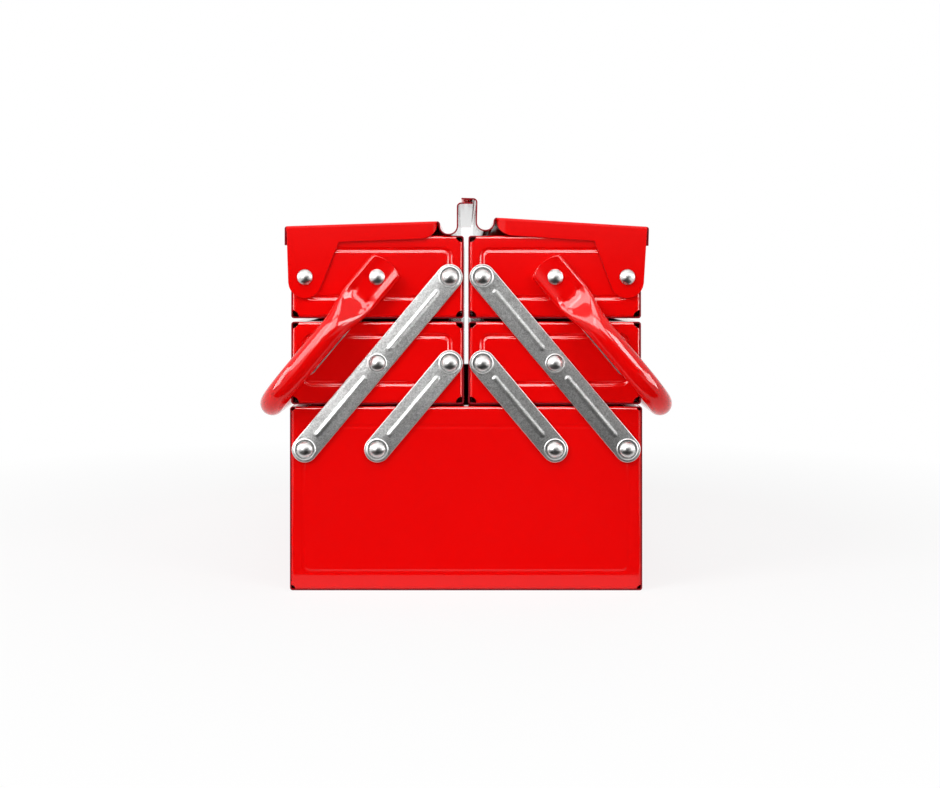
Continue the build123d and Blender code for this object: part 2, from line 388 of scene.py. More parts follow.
# %% Folded walls
def folded_wall(skin, low, high, rim):
    """The floor and long walls between two corners of the solid, with rims turned in."""
    left, right, floor, top = low.x, high.x, low.z, high.z
    corners = [
        (left + rim, top), (left, top), (left, floor),
        (right, floor), (right, top), (right - rim, top),
    ]
    outline = rounded(corners, (0, bend, bend, bend, bend, 0))
    rows = [[(p.x, y, p.y) for p in outline] for y in (high.y, low.y)]
    strip(skin, rows)


tray_rim, box_rim = 9.0 * MM, 10.0 * MM
wall_nodes = [("box_wall", "bottom_box", box_rim)]
for side, _ in SIDES:
    for tray in ("mid", "top"):
        wall_nodes.append((f"{side}_{tray}_tray", f"{side}_{tray}_tray_body", tray_rim))
for node, body, rim in wall_nodes:
    skin = bmesh.new()
    folded_wall(skin, *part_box(node), rim)
    dress(sheet_piece(f"{node}_pan", skin), body, [node], "red_enamel")

# %% [markdown]
# Each end panel is a shallow pressing. Its corners are notched where two flanges would
# collide, and its top flange is shorter, because the rims of the wall lie beside it. All
# this is in the border of the flat face. Cutting it out of a finished panel would leave
# slivers, so the border is laid out first, with every notch as an arc of points.

# %% Border of an end panel
end_flange, groove_width, groove_corner = 10.0 * MM, 3.4 * MM, 5.7 * MM
groove_slope = 0.4  # share of the groove's width that each of its slopes takes
rim_point_inset = 9.0 * MM
rim_clearance, rim_notch = 0.1 * MM, 0.5 * MM
corner_steps, groove_rows, bend_rows = 8, 16, 8
INWARD = ((1, 1), (-1, 1), (-1, -1), (1, -1))


def with_rim_points(outline, left, right, top):
    """The outline with two more points on its upper side, where the top flange starts."""
    place = 3 * (corner_steps + 1)
    return outline[:place] + [Vector((right, top)), Vector((left, top))] + outline[place:]


def notched_border(corners, inset, relief_radius):
    """The border of the flat face: straight sides, and an arc cut in at each corner."""
    lean = math.asin(inset / relief_radius)
    border = []
    for number, (corner, (in_x, in_z)) in enumerate(zip(corners, INWARD)):
        arc = []
        for step in range(corner_steps + 1):
            angle = lean + (math.pi / 2 - 2 * lean) * step / corner_steps
            across, up = relief_radius * math.sin(angle), relief_radius * math.cos(angle)
            arc.append(Vector((corner[0] + in_x * across, corner[1] + in_z * up)))
        border += arc if number % 2 == 0 else arc[::-1]
    return border


print("points round a panel:", 4 * (corner_steps + 1) + 2)

# %% [markdown]
# A groove is stamped round the face to stiffen it. A bump map could fake it, but its
# edges would not catch the light at a slant. Loops of points that share one count can be
# bridged ring by ring, so the groove is sixteen rings between the border and the middle.

# %% Pressed face
def end_panel(skin, facing, low, high, rim, margins, groove_depth, relief_radius):
    """One pressed panel; low and high are the corners of its solid's face."""
    left, right, bottom, top = low.x, high.x, low.z, high.z
    side_margin, floor_margin, rim_margin = margins
    corners = [(left, bottom), (right, bottom), (right, top), (left, top)]
    inner_rim = rim + rim_clearance - sheet

    def ring(outline, depth):
        return [skin.verts.new((p.x, facing * (end_face - depth), p.y)) for p in outline]

    def quad(*verts):
        skin.faces.new(verts if facing < 0 else verts[::-1])

    border = notched_border(corners, bend, relief_radius)
    rings = [ring(with_rim_points(border, left + inner_rim, right - inner_rim, top - bend), 0)]
    for row in range(groove_rows + 1):
        share = row / groove_rows
        across = share * groove_width
        down = min(share, 1 - share, groove_slope) / groove_slope
        depth = groove_depth * down * down * (3 - 2 * down)
        near, far = left + side_margin + across, right - side_margin - across
        low_edge, high_edge = bottom + floor_margin + across, top - rim_margin - across
        track = [(near, low_edge), (far, low_edge), (far, high_edge), (near, high_edge)]
        outline = rounded(track, [groove_corner - across] * 4, corner_steps)
        outline = with_rim_points(outline, near + rim_point_inset, far - rim_point_inset, high_edge)
        rings.append(ring(outline, depth))
    for outer, inner in zip(rings, rings[1:]):
        for number in range(len(outer)):
            following = (number + 1) % len(outer)
            quad(outer[number], outer[following], inner[following], inner[number])
    quad(*rings[-1])
    fold_back(skin, facing, rings[0], corners, inner_rim, relief_radius, quad)


print("rings across a groove:", groove_rows + 1)

# %% [markdown]
# The four edges are folded back into flanges that are welded inside the walls. Extruding
# the border would give a sharp edge. Here each row of points rolls round the bend first,
# and the ends of the rows keep to the round notch, as the press leaves them.

# %% Flanges
def fold_back(skin, facing, border, corners, inner_rim, relief_radius, quad):
    """The four flanges: each border edge rolls back round the bend, then runs straight in."""
    points = corner_steps + 1
    top_side = 2  # this flange narrows on its way back, where the rims of the wall lie over it
    for side in range(4):
        if side == top_side:
            edge = border[3 * points - 1:3 * points + 3]
        elif side == 3:
            edge = [border[-1], border[0]]
        else:
            edge = border[(side + 1) * points - 1:(side + 1) * points + 1]
        near, far = Vector(corners[side]), Vector(corners[(side + 1) % 4])
        along = (far - near).normalized()
        inward = Vector((-along.y, along.x))
        previous, narrow = edge, False
        for row in range(1, bend_rows + 2):
            angle = math.pi / 2 * min(row, bend_rows) / bend_rows
            inset = bend * (1 - math.sin(angle))
            depth = bend * (1 - math.cos(angle)) if row <= bend_rows else end_flange
            reach = math.sqrt(relief_radius**2 - inset**2)
            spots = [near + along * reach, far - along * reach]
            if side == top_side:
                spots[1:1] = [near + along * inner_rim, far - along * inner_rim]
            if narrow:
                spots = spots[1:3]
            spots = [spot + inward * inset for spot in spots]
            fresh = [skin.verts.new((spot.x, facing * (end_face - depth), spot.y)) for spot in spots]
            for a, b, c, d in zip(previous, previous[1:], fresh[1:], fresh):
                quad(b, a, d, c)
            previous = fresh
            if side == top_side and not narrow and depth > rim_notch:
                previous, narrow = fresh[1:3], True


print("rows round a flange's bend:", bend_rows)

# %% [markdown]
# The trays are pressed deeper than the large panel of the bottom box, which has only a
# faint groove. Each body gets its two panels, front and rear, as one piece.

# %% End panels
tray_margins = (6.2 * MM - sheet, 10.2 * MM - sheet, 6.3 * MM)
box_margins = (6.0 * MM - sheet, 9.0 * MM - sheet, 9.4 * MM)
tray_press, box_press = (0.75 * MM, 3.7 * MM), (0.12 * MM, 2.4 * MM)
panel_nodes = [("box_end", "bottom_box", box_rim, box_margins, box_press)]
for side, _ in SIDES:
    for tray in ("mid", "top"):
        name = f"{side}_{tray}_tray"
        panel_nodes.append((f"{name}_end", f"{name}_body", tray_rim, tray_margins, tray_press))
for node, body, rim, margins, press in panel_nodes:
    skin = bmesh.new()
    for facing, end in zip(FACINGS, ("front", "rear")):
        end_panel(skin, facing, *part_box(f"{node}_{end}"), rim, margins, *press)
    piece = sheet_piece(f"{node}_pressings", skin)
    dress(piece, body, [f"{node}_front", f"{node}_rear"], "red_enamel")

# %% [markdown]
# A lid is one sheet too: a skirt outside, a nearly flat top, then the rain groove, the
# upright ridge and the lip that meets the other lid. At both ends the top is folded down
# into an ear that hangs on the hinge rivet, and the ear runs on as a narrow strip. All
# sizes are measured from the hinge, as the lid is what turns about it.

# %% Sizes of a lid
ear_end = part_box("left_lid")[1].y
lid_fold = 1.5 * MM
skirt_side, skirt_end, skirt_depth = -(tray_side + 2.8 * MM + sheet), ear_end - sheet, 10.8 * MM
top_outer, top_inner = rim_height + 5.4 * MM, rim_height + 8.3 * MM
ridge_side = outer_column - 4.5 * MM - sheet
groove_side, groove_bottom = ridge_side - 9.4 * MM, rim_height + 0.3 * MM + sheet
lip_top, lip_end = rim_height + 18.8 * MM, outer_column + 3.9 * MM
ear_radius, ear_drop, ear_side, ear_run = 9.5 * MM, 2.5 * MM, -10.5 * MM, 19.2 * MM
strip_low, strip_rise, strip_far = rim_height - 3.6 * MM, 1.8 * MM, outer_column - 16.3 * MM
strip_round, strip_curl = 9.6 * MM, 2.0 * MM
groove_edge_radius, groove_radius, lip_radius = 2.0 * MM, 4.4 * MM, 2.4 * MM
profile_steps, ear_steps, run_steps, end_steps, fold_steps = 8, 20, 4, 8, 6


def touch_point(x, z, turn):
    """Where a straight edge through (x, z) meets the ear's round end, on the side turn."""
    away = math.hypot(x, z + ear_drop)
    angle = math.atan2(z + ear_drop, x) + turn * math.acos(ear_radius / away)
    return ear_radius * math.cos(angle), ear_radius * math.sin(angle) - ear_drop


outer_touch = touch_point(ear_side, top_outer, 1)
inner_touch = touch_point(ear_run, strip_low, -1)
print("ear meets its edges at, mm:", [round(v / MM, 2) for v in (*outer_touch, *inner_touch)])

# %% [markdown]
# The profile runs from the skirt to the lip. The flat top gets a point wherever the edge
# of the ear below it needs one, so that the folded end can be drawn column by column
# from the same points. Cutting the ear out afterwards would break those columns.

# %% Lid profile
def lid_profile():
    """The upper face of a lid from the skirt to the lip, measured from its hinge."""
    corners = [
        (skirt_side, top_outer - skirt_depth), (skirt_side, top_outer), (groove_side, top_inner),
        (groove_side, groove_bottom), (ridge_side, groove_bottom), (ridge_side, lip_top),
        (lip_end, lip_top),
    ]
    radii = (0, bend, groove_edge_radius, groove_radius, groove_radius, lip_radius, 0)
    outline = rounded(corners, radii, profile_steps)
    arc_end = [i for i, p in enumerate(outline) if p.x < 0][-1]
    flat_start, flat_end = outline[arc_end], outline[arc_end + 1]
    ear_inner, strip_start = inner_touch[0], strip_far - strip_round
    stops = [outer_touch[0]]
    stops += [-ear_radius * math.cos(math.pi * k / ear_steps) for k in range(2, ear_steps)]
    stops += [ear_inner + (ear_run - ear_inner) * k / run_steps for k in range(run_steps + 1)]
    stops += [ear_run + (strip_start - ear_run) * k / run_steps for k in range(1, run_steps + 1)]
    swings = [math.pi / 2 * k / end_steps for k in range(1, end_steps)]
    stops += [strip_far - strip_round * (1 - math.sin(swing)) for swing in swings]
    slope = (flat_end.y - flat_start.y) / (flat_end.x - flat_start.x)
    flat = [Vector((x, flat_start.y + slope * (x - flat_start.x)))
            for x in sorted(stops) if flat_start.x < x < flat_end.x]
    return outline[:arc_end + 1] + flat + outline[arc_end + 1:]


print("points of a lid's profile:", len(lid_profile()))

# %% [markdown]
# Seen from the end, the lower edge of the ear is a slanted line, an arc round the rivet,
# another line and a nearly level strip that closes in a quarter of an ellipse. Each
# stretch is a height at a distance from the hinge, so one plain function holds them all.

# %% Ear's edge
def between(x, start, end):
    """The height at x on the straight line from one point to another."""
    return start[1] + (end[1] - start[1]) * (x - start[0]) / (end[0] - start[0])


def ear_low(x, top):
    """The lower edge of a lid's ear and end strip, x from the hinge towards the ridge."""
    strip_corner = (strip_far - strip_round, strip_low + strip_rise)
    if x < outer_touch[0]:
        return between(x, (ear_side, top_outer), outer_touch)
    if x <= inner_touch[0]:
        return -ear_drop - math.sqrt(max(ear_radius**2 - x**2, 0))
    if x <= ear_run:
        return between(x, inner_touch, (ear_run, strip_low))
    if x <= strip_corner[0]:
        return between(x, (ear_run, strip_low), strip_corner)
    share = min((x - strip_corner[0]) / strip_round, 1)
    return top - (top - strip_corner[1]) * math.sqrt(1 - share**2)


def end_curl(x):
    """How far the free end of the strip is bent in towards the tray at x."""
    return strip_curl * min(max((x - strip_far) / strip_round + 1, 0), 1) ** 3


print("ear reaches below its rivet, mm:", round(-ear_low(0, 0) / MM, 2))

# %% [markdown]
# The skin joins the long sheet, the skirt's short ends and both folded ears. It could be
# made of three pieces, but a seam would show in the gloss, so they share their border
# points, and points that fall on one another are merged at the end.

# %% Lid skin
same_point = 0.004 * MM


def lid_skin(side, hinge, lift):
    """The outer skin of a lid that stands lift radians open about its hinge."""
    skin = bmesh.new()
    profile = lid_profile()
    first = max(i for i, p in enumerate(profile) if p.x <= ear_side)
    last = max(i for i, p in enumerate(profile) if p.x <= strip_far + 2 * same_point)
    folded = profile[first:last + 1]
    x_dir = Vector((-side * math.cos(lift), 0, math.sin(lift)))
    up_dir = Vector((side * math.sin(lift), 0, math.cos(lift)))

    def vertex(x, y, z):
        return skin.verts.new(hinge + x_dir * x + up_dir * z + Vector((0, y, 0)))

    def quads(rows, facing):
        for upper, lower in zip(rows, rows[1:]):
            for a, b, c, d in zip(upper, upper[1:], lower[1:], lower):
                skin.faces.new((a, d, c, b) if facing * side > 0 else (a, b, c, d))

    ends = [ear_end - lid_fold - (end_curl(p.x) if p.x <= strip_far else 0) for p in profile]
    edges = {facing: [vertex(p.x, facing * end, p.y) for p, end in zip(profile, ends)] for facing in FACINGS}
    quads([edges[-1], edges[1]], 1)
    for facing in FACINGS:
        edge = edges[facing]
        for start, end, reach in ((0, first, skirt_end), (last, len(profile) - 1, ear_end)):
            outer = [vertex(p.x, facing * reach, p.y) for p in profile[start:end + 1]]
            quads([edge[start:end + 1], outer], facing)
        rows = [edge[first:last + 1]]
        for step in range(1, fold_steps + 1):
            angle = math.pi / 2 * step / fold_steps
            y, fall = ear_end - lid_fold * (1 - math.sin(angle)), lid_fold * (1 - math.cos(angle))
            rows.append([vertex(p.x, facing * (y - end_curl(p.x)), p.y - fall) for p in folded])
        lows = [min(ear_low(p.x, p.y - lid_fold), p.y - lid_fold) for p in folded]
        faces = [facing * (ear_end - end_curl(p.x)) for p in folded]
        rows.append([vertex(p.x, y, low) for p, y, low in zip(folded, faces, lows)])
        quads(rows, facing)
    bmesh.ops.remove_doubles(skin, verts=skin.verts, dist=same_point)
    return skin


print("lid's end stands out, mm:", round((ear_end - end_face) / MM, 2))

# %% [markdown]
# The lip of the right lid lies on the left one's, which lifts the right lid by a small
# angle. The angle is part of its mesh, so the lid still turns about its own rivets.

# %% Lids
lip_lift = {"left": 0, "right": math.radians(1.6)}
for side, sign in SIDES:
    lift = lip_lift[side]
    piece = sheet_piece(f"{side}_lid_cover", lid_skin(sign, pivots[f"{side}_lid_hinge"], lift))
    dress(piece, f"{side}_lid", [f"{side}_lid"], "red_enamel")

# %% [markdown]
# Links, rivets and handles repeat, so Geometry Nodes make them. A part could be modelled
# once and copied, but a tree with named inputs makes long, short and tie links from one
# drawing, and every rivet from another.

# %% A tree and its piece
def new_tree(name, inputs):
    """A Geometry Nodes tree with named inputs, and those inputs as fields."""
    tree = bpy.data.node_groups.new(name, "GeometryNodeTree")
    tree.interface.new_socket("Geometry", in_out="OUTPUT", socket_type="NodeSocketGeometry")
    tree.interface.new_socket("Geometry", in_out="INPUT", socket_type="NodeSocketGeometry")
    for label, kind in inputs.items():
        tree.interface.new_socket(label, in_out="INPUT", socket_type=f"NodeSocket{kind}")
    source = tree.nodes.new("NodeGroupInput")
    fields = {label: Field(tree, source.outputs[label]) for label in inputs}
    return tree, source.outputs["Geometry"], fields


def close_tree(tree, geometry, material):
    """Ends a tree with real geometry in its material."""
    solid = add(tree, "GeometryNodeRealizeInstances", {"Geometry": geometry}).outputs[0]
    painted = add(tree, "GeometryNodeSetMaterial", {"Geometry": solid, "Material": material}).outputs[0]
    smooth = add(tree, "GeometryNodeSetShadeSmooth", {"Geometry": painted}).outputs[0]
    output = tree.nodes.new("NodeGroupOutput")
    tree.links.new(smooth, output.inputs[0])


def grown_piece(name, tree, mesh, values):
    """An object whose shape the tree makes from the mesh and the values of its inputs."""
    obj = bpy.data.objects.new(name, mesh)
    scene.collection.objects.link(obj)
    modifier = obj.modifiers.new(tree.name, "NODES")
    modifier.node_group = tree
    for item in tree.interface.items_tree:
        if item.in_out == "INPUT" and item.name in values:
            modifier[item.identifier] = values[item.name]
    shade = obj.modifiers.new("even shading", "WEIGHTED_NORMAL")
    shade.keep_sharp = True
    return obj


print("a tree ends in real geometry with its material")

# %% [markdown]
# Inside a tree a place is three numbers. Two helpers put them together and take them
# apart, and a third moves the points of a geometry to the place that was worked out.

# %% Places
def vector(tree, x, y, z):
    """A vector of numbers and fields."""
    return add(tree, "ShaderNodeCombineXYZ", {0: x, 1: y, 2: z}).outputs[0]


def position_parts(tree):
    """The x, y and z of wherever a point is when they are used."""
    spot = add(tree, "ShaderNodeSeparateXYZ", {0: add(tree, "GeometryNodeInputPosition").outputs[0]})
    return [Field(tree, part) for part in spot.outputs]


def moved_to(tree, geometry, target):
    """The geometry with its points moved to the target."""
    return add(tree, "GeometryNodeSetPosition", {"Geometry": geometry, "Position": target}).outputs[0]


print("places are vectors of fields")

# %% [markdown]
# The workhorse is a band: a grid whose columns go once round an outline and whose rows
# climb from one size and height to the next. With a half length it goes round a slot
# instead of a circle, which is the outline of a link and of the rib pressed in it. A
# turned profile, as on a lathe, would make round parts only, and a band makes both.

# %% Bands
turns, quarter = 40, math.pi / 2


def outline_point(tree, angle, half, radius, height):
    """A point on a circle, or on a slot that reaches half its length to both sides."""
    cosine = angle.math("COSINE")
    x = cosine * radius + cosine.math("SIGN") * half
    return vector(tree, x, angle.math("SINE") * radius, height)


def band(tree, rows, half, radius, height):
    """A surface over rows from t = 0 to 1; radius and height are functions of t."""
    sockets = {"Size X": 1.0, "Size Y": 1.0, "Vertices X": turns + 1, "Vertices Y": rows + 1}
    grid = add(tree, "GeometryNodeMeshGrid", sockets).outputs[0]
    x, y, _ = position_parts(tree)
    t = y + 0.5
    angle = x * math.tau + math.pi / turns
    return moved_to(tree, grid, outline_point(tree, angle, half, radius(t), height(t)))


def outline_curve(tree, half, radius, height):
    """The same outline as a closed curve, to be filled."""
    circle = add(tree, "GeometryNodeMeshCircle", {"Vertices": turns}).outputs[0]
    index = Field(tree, add(tree, "GeometryNodeInputIndex").outputs[0])
    target = outline_point(tree, (index + 0.5) * (math.tau / turns), half, radius, height)
    return add(tree, "GeometryNodeMeshToCurve", {"Mesh": moved_to(tree, circle, target)}).outputs[0]


def smooth_step(t):
    """From 0 to 1 with a soft start and a soft end."""
    return (1 - (t * math.pi).math("COSINE")) * 0.5


def level(value):
    """A size that stays the same over a band."""
    return lambda t: value


def straight(start, end):
    """A size that changes evenly over a band."""
    return lambda t: start + (end - start) * t


def eased(start, end):
    """A size that changes over a band with a soft start and a soft end."""
    return lambda t: start + (end - start) * smooth_step(t)


print("columns round a band:", turns)

# %% [markdown]
# Bands meet border on border, so they are joined and their common points merged. Copies
# are made on points, and a copy at the rear end is turned round, so that its outer face
# looks away from the box as well.

# %% Joining and copying
weld_distance = 0.004 * MM


def join(tree, parts):
    """The parts as one geometry."""
    node = add(tree, "GeometryNodeJoinGeometry")
    for part in parts:
        tree.links.new(part, node.inputs[0])
    return node.outputs[0]


def repeat(tree, part, points, **sockets):
    """Real copies of the part on the points."""
    sockets = {key.replace("_", " "): value for key, value in sockets.items()}
    copies = add(tree, "GeometryNodeInstanceOnPoints", {"Points": points, "Instance": part, **sockets})
    return add(tree, "GeometryNodeRealizeInstances", {"Geometry": copies.outputs[0]}).outputs[0]


def weld(tree, geometry):
    """Joins bands where their borders meet."""
    sockets = {"Geometry": geometry, "Distance": weld_distance}
    return add(tree, "GeometryNodeMergeByDistance", sockets).outputs[0]


def facing_out(tree, along):
    """A rotation that turns z away from the box at either end, and x to the direction along."""
    outward = vector(tree, 0.0, position_parts(tree)[1].math("SIGN"), 0.0)
    sockets = {"Primary Axis": outward, "Secondary Axis": along}
    turned = add(tree, "FunctionNodeAxesToRotation", sockets, primary_axis="Z", secondary_axis="X")
    return turned.outputs[0]


print("copies at both ends, bands welded within, mm:", weld_distance / MM)

# %% [markdown]
# A rivet starts as a pin with a domed head. It goes through the link and the end panel,
# and its tail is then upset inside the tray. A ball and a cylinder would do from afar, but
# the head is flatter than half a ball and has a thin straight lip. So the rivet is a stack
# of bands on one axis, drawn once and copied to every seat.

# %% Rivet tree
lengths = ("Head radius", "Head height", "Head lip", "Shank radius", "Grip", "Tail radius",
           "Tail height", "Sheet")
rivet_tree, seats, size = new_tree("Rivets", {**dict.fromkeys(lengths, "Float"), "Plating": "Material"})
head, shank, grip, tail = size["Head radius"], size["Shank radius"], size["Grip"], size["Tail radius"]
crown = size["Head height"] - size["Head lip"]
sphere = (head * head + crown * crown) / (2 * crown)
span = (head / sphere).math("ARCSINE")
head_top, head_edge, tail_face = grip + size["Head height"], grip + size["Head lip"], -size["Sheet"]
# rows, radius and height of each band, from the top of the head to the end of the tail
stack = [
    (9, lambda t: sphere * (span * t).math("SINE"),
     lambda t: head_top - sphere * (1 - (span * t).math("COSINE"))),
    (2, level(head), straight(head_edge, grip)),
    (1, straight(head, shank), level(grip)),
    (1, level(shank), straight(grip, tail_face)),
    (1, straight(shank, tail), level(tail_face)),
    (6, lambda t: tail * (t * quarter).math("COSINE"),
     lambda t: tail_face - size["Tail height"] * (t * quarter).math("SINE")),
]
bands = [band(rivet_tree, rows, 0.0, radius, height) for rows, radius, height in stack]
rivet = weld(rivet_tree, join(rivet_tree, bands))
rivets = repeat(rivet_tree, rivet, seats, Rotation=facing_out(rivet_tree, (1.0, 0.0, 0.0)))
close_tree(rivet_tree, rivets, size["Plating"])
print("rivet tree:", len(rivet_tree.nodes), "nodes")

# %% [markdown]
# How far a rivet stands out depends on what it holds: a link, a lid's ear, or a link and
# the flat end of a handle. The grip is the sum of those layers and the play between them.

# %% Rivets
panel_gap, link_thickness, tongue_thickness, play = 0.3 * MM, 1.5 * MM, 2.8 * MM, 0.1 * MM
link_grip = panel_gap + link_thickness + play
handle_grip = link_grip + tongue_thickness + play
lid_grip = panel_gap + sheet + play


def rivet_piece(name, body, node, columns, row, grip):
    """The rivets of one body at both ends of the box."""
    seats = bpy.data.meshes.new(name)
    seats.from_pydata([(x, facing * end_face, row) for x in columns for facing in FACINGS], [], [])
    values = {
        "Head radius": 4.5 * MM, "Head height": 2.3 * MM, "Head lip": 0.3 * MM,
        "Shank radius": 2.5 * MM, "Grip": grip, "Tail radius": 3.4 * MM, "Tail height": 1.2 * MM,
        "Sheet": sheet, "Plating": nickel,
    }
    piece = grown_piece(name, rivet_tree, seats, values)
    dress(piece, body, [node], "rivet_plating")


rivet_piece("box_rivet_set", "bottom_box", "box_rivets",
            (-outer_column, -middle_column, middle_column, outer_column), box_row, link_grip)
for side, sign in SIDES:
    inner, middle, outer = sign * inner_column, sign * middle_column, sign * outer_column
    for name, tray, columns, row, grip in (
        ("mid_tray", "mid", (inner, middle, outer), mid_row, link_grip),
        ("top_tray", "top", (inner,), top_row, link_grip),
        ("handle", "top", (middle,), top_row, handle_grip),
        ("lid", "top", (outer,), top_row, lid_grip),
    ):
        group = f"{side}_{name}_rivet"
        rivet_piece(f"{group}_set", f"{side}_{tray}_tray_body", f"{group}s", columns, row, grip)

# %% [markdown]
# A link is a flat strip with round ends. Round each pivot it is pressed down a little, so
# that a raised ring stands round the rivet's head, and between two pivots it has a rib
# that keeps the thin steel from bending. Cutting these into a block would leave ragged
# edges, so each step from one height to the next is a band of its own.

# %% Sizes and steps of a link
lengths = ("Pitch", "Width", "Thickness", "Edge", "Bow", "Ring radius", "Ring rise", "Dish radius",
           "Dish slope", "Dish depth", "Rib margin", "Rib radius", "Rib height", "Gap")
inputs = {"Start": "Vector", "Direction": "Vector", "Span": "Float", "Pivots": "Int"}
tree, _, size = new_tree("Links", {**inputs, **dict.fromkeys(lengths, "Float"), "Plating": "Material"})
gap, edge, pitch = size["Gap"], size["Edge"], size["Pitch"]
ring_radius, dish_radius, rib_radius = size["Ring radius"], size["Dish radius"], size["Rib radius"]
face = gap + size["Thickness"]
half = pitch * (size["Pivots"] - 1) * 0.5
outer_radius = size["Width"] * 0.5
flat_radius, floor_radius = outer_radius - edge, dish_radius - size["Dish slope"]
crest, dish_floor = face + size["Ring rise"], face - size["Dish depth"]
rib_half = pitch * 0.5 - size["Rib margin"] - rib_radius


def mark_painted_highlight(tree, part):
    """Marks the faces whose zinc gets a painted highlight."""
    sockets = {"Geometry": part, "Name": "burnish", "Value": 1.0}
    node = add(tree, "GeometryNodeStoreNamedAttribute", sockets, data_type="FLOAT", domain="FACE")
    return node.outputs[0]


def row_of_points(tree, count, start, offset):
    """Points on a straight line."""
    sockets = {"Count": count, "Start Location": start, "Offset": offset}
    return add(tree, "GeometryNodeMeshLine", sockets).outputs[0]


# the rounded edge band and the dish's ring bands carry the painted highlight
body_parts = [
    mark_painted_highlight(tree, band(tree, 4, half, lambda t: flat_radius + edge * (t * quarter).math("SINE"),
                         lambda t: face - edge + edge * (t * quarter).math("COSINE"))),
    band(tree, 1, half, level(outer_radius), straight(face - edge, gap)),
    band(tree, 1, half, straight(outer_radius, 0.0), level(gap)),
]
dish = join(tree, [
    mark_painted_highlight(tree, band(tree, 4, 0.0, straight(ring_radius, dish_radius), eased(face, crest))),
    mark_painted_highlight(tree, band(tree, 6, 0.0, straight(dish_radius, floor_radius), eased(crest, dish_floor))),
    band(tree, 1, 0.0, straight(floor_radius, 0.0), level(dish_floor)),
])
rib = band(tree, 10, rib_half, straight(rib_radius, 0.0), eased(face, face + size["Rib height"]))
print("steps of a link:", len(body_parts), "round it, one dish and one rib")

# %% [markdown]
# The flat face is a filled outline with holes for the dishes and ribs, and the bands close
# the steps. Last of all the strip is bowed across its width by a third of a millimetre,
# as shearing leaves it, because a truly flat strip would mirror one single tone.

# %% Plate of a link
along_link = vector(tree, pitch, 0.0, 0.0)
pivot_points = row_of_points(tree, size["Pivots"], vector(tree, -half, 0.0, 0.0), along_link)
index = Field(tree, add(tree, "GeometryNodeInputIndex").outputs[0])
inside = index.math("GREATER_THAN", 0.5) * (size["Pivots"] - 1.5).math("GREATER_THAN", index)
middle_shrink = 0.12  # the dish of a middle pivot is smaller by this share
narrower = 1 - inside * middle_shrink
dish_scale = vector(tree, narrower, narrower, 1.0)
first_rib = vector(tree, pitch * 0.5 - half, 0.0, 0.0)
rib_points = row_of_points(tree, size["Pivots"] - 1, first_rib, along_link)
borders = join(tree, [
    outline_curve(tree, half, flat_radius, face),
    repeat(tree, outline_curve(tree, 0.0, ring_radius, face), pivot_points, Scale=dish_scale),
    repeat(tree, outline_curve(tree, rib_half, rib_radius, face), rib_points),
])
plate = add(tree, "GeometryNodeFillCurve", {"Curve": borders}).outputs[0]
x, y, z = position_parts(tree)
plate = moved_to(tree, plate, vector(tree, x, y, face))
steps = [repeat(tree, dish, pivot_points, Scale=dish_scale), repeat(tree, rib, rib_points)]
link = weld(tree, join(tree, [plate, *body_parts, *steps]))
side_share, height_share = y / outer_radius, (z - gap) / size["Thickness"]
drop = side_share * side_share * size["Bow"] * height_share
link = moved_to(tree, link, vector(tree, x + half, y, z - drop))
front_to_rear = row_of_points(tree, 2, size["Start"], vector(tree, 0.0, size["Span"], 0.0))
links = repeat(tree, link, front_to_rear, Rotation=facing_out(tree, size["Direction"]))
close_tree(tree, links, size["Plating"])
link_tree = tree
print("link tree:", len(link_tree.nodes), "nodes")

# %% [markdown]
# Long links have three pivots, short links and tie links two, and all have one pitch,
# which is why the trays stay level. The frame gives the pitch and the slant.

# %% Links
climb = pivots["right_mid_tray_pivot"] - pivots["right_cantilever"]


def link_piece(name, body, nodes, start, sign, count, rib_height):
    """The links of one kind at both ends of the box."""
    values = {
        "Start": (start.x, -end_face, start.z), "Direction": (climb.x * sign, 0.0, climb.z),
        "Span": 2 * end_face, "Pivots": count, "Pitch": climb.length, "Width": 14.8 * MM,
        "Thickness": link_thickness, "Edge": 0.5 * MM, "Bow": 0.35 * MM, "Ring radius": 6.3 * MM,
        "Ring rise": 0.3 * MM, "Dish radius": 5.7 * MM, "Dish slope": 0.8 * MM, "Dish depth": 0.4 * MM,
        "Rib margin": 9.2 * MM, "Rib radius": 2.1 * MM, "Rib height": rib_height, "Gap": panel_gap,
        "Plating": zinc,
    }
    piece = grown_piece(name, link_tree, bpy.data.meshes.new(name), values)
    dress(piece, body, nodes, "zinc_plating")


rib_rise = 0.38 * MM
kinds = (
    ("long", "cantilever", 3, rib_rise),
    ("short", "short_link_pivot", 2, rib_rise),
    ("tie", "tie_link_pivot", 2, 0.0),
)
for side, sign in SIDES:
    for kind, pivot, count, rib_height in kinds:
        name = f"{side}_{kind}_link"
        nodes = [f"{name}_front", f"{name}_rear"]
        link_piece(f"{name}_pair", f"{name}s", nodes, pivots[f"{side}_{pivot}"], sign, count, rib_height)

# %% [markdown]
# Each handle is bent from one tube, and its ends are pressed flat so that a rivet can
# hold them. A swept circle is easy, but a flat end is not a scaled circle. So the tree
# starts with the centre line alone, with its two round bends, and builds the section
# along it in the steps below.

